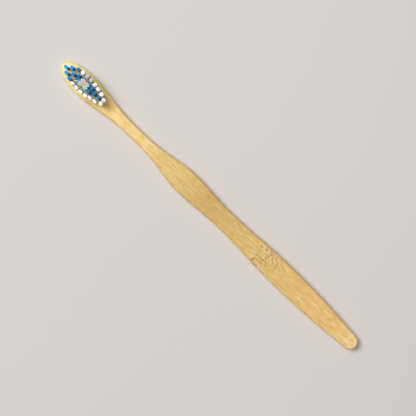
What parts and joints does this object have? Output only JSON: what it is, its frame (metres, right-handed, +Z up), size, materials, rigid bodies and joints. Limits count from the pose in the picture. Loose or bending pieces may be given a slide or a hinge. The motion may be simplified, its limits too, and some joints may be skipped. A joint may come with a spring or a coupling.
{
  "type": "manual toothbrush",
  "caption": "Manual toothbrush with a slim waisted bamboo handle and an oval head of upright nylon tufts, blue and white, each folded over a metal anchor in its own drilled hole.",
  "frame": {"origin": "on the flat back face, under the middle of the brush's length and width", "axes": "+X along the handle towards the tip of the head, +Y across the handle, +Z up, out of the bristles"},
  "size_m": [0.189, 0.0116, 0.0153],
  "materials": {
    "bamboo": "bare sanded bamboo, fine straight grain, satin",
    "nylon_blue": "dyed blue nylon filament, satin",
    "nylon_white": "white nylon filament, satin",
    "nylon_clear": "undyed pale grey nylon filament, satin",
    "nylon_ice": "pale ice blue nylon filament, satin",
    "anchor_wire": "flat drawn wire, cut ends"
  },
  "bodies": {
    "root": {"anchors_row01": "anchor_wire", "anchors_row02": "anchor_wire", "anchors_row03": "anchor_wire", "anchors_row04": "anchor_wire", "anchors_row05": "anchor_wire", "anchors_row06": "anchor_wire", "anchors_row07": "anchor_wire", "anchors_row08": "anchor_wire", "anchors_row09": "anchor_wire", "anchors_row10": "anchor_wire", "handle": "bamboo", "tuft_row01_a": "nylon_blue", "tuft_row02_a": "nylon_blue", "tuft_row02_b": "nylon_blue", "tuft_row03_a": "nylon_blue", "tuft_row03_b": "nylon_blue", "tuft_row03_c": "nylon_blue", "tuft_row04_a": "nylon_white", "tuft_row04_b": "nylon_blue", "tuft_row04_c": "nylon_blue", "tuft_row04_d": "nylon_white", "tuft_row05_a": "nylon_clear", "tuft_row05_b": "nylon_ice", "tuft_row05_c": "nylon_ice", "tuft_row05_d": "nylon_white", "tuft_row06_a": "nylon_clear", "tuft_row06_b": "nylon_ice", "tuft_row06_c": "nylon_ice", "tuft_row06_d": "nylon_white", "tuft_row07_a": "nylon_white", "tuft_row07_b": "nylon_blue", "tuft_row07_c": "nylon_blue", "tuft_row07_d": "nylon_white", "tuft_row08_a": "nylon_white", "tuft_row08_b": "nylon_blue", "tuft_row08_c": "nylon_white", "tuft_row09_a": "nylon_white", "tuft_row09_b": "nylon_blue", "tuft_row09_c": "nylon_white", "tuft_row10_a": "nylon_white", "tuft_row10_b": "nylon_white"}
  },
  "joints": []
}
